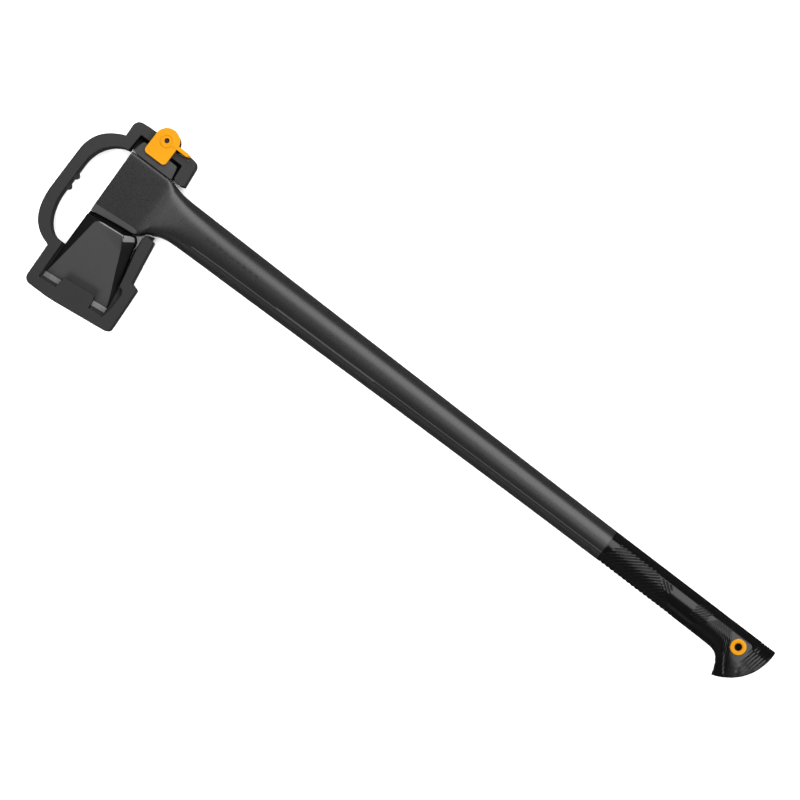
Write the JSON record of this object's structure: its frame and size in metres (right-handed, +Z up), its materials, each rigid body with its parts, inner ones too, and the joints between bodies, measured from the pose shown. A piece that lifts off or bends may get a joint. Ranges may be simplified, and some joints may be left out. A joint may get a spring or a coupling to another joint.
{
  "type": "splitting maul",
  "caption": "Splitting maul with a raised wedge head, hollow composite handle, hooked grip and hang eyelet, stored in a blade sheath with a carrying loop and a turning latch.",
  "frame": {"origin": "centre of the bounding box's underside, the maul lying on its side in its sheath", "axes": "+X along the handle from the head to the butt, +Y from the cutting edge towards the poll, +Z up out of the blade's middle plane"},
  "size_m": [0.9622, 0.235, 0.058],
  "materials": {
    "head_steel": "satin coating over forged steel, with a bright ground cutting edge",
    "composite": "satin glass-filled plastic",
    "soft_grip": "soft overmould with fine grooves",
    "plug_plastic": "matte",
    "orange_plastic": "smooth moulded plastic",
    "sheath_plastic": "fine moulded texture",
    "pin_steel": "plain"
  },
  "bodies": {
    "maul_in_sheath": {"axe_head": "head_steel", "handle": "composite", "butt_plug": "plug_plastic", "grip": "soft_grip", "eyelet_ferrule": "orange_plastic", "eyelet_back_ring": "orange_plastic", "sheath_frame": "sheath_plastic", "latch_pin": "pin_steel"},
    "latch_body": {"latch": "orange_plastic"}
  },
  "joints": [
    {"name": "latch_hinge", "type": "hinge", "parent": "maul_in_sheath", "child": "latch_body", "pos_m": [-0.4075, 0.10297, 0.029], "axis": [0, 0, 1], "range_deg": [0, 115]}
  ]
}
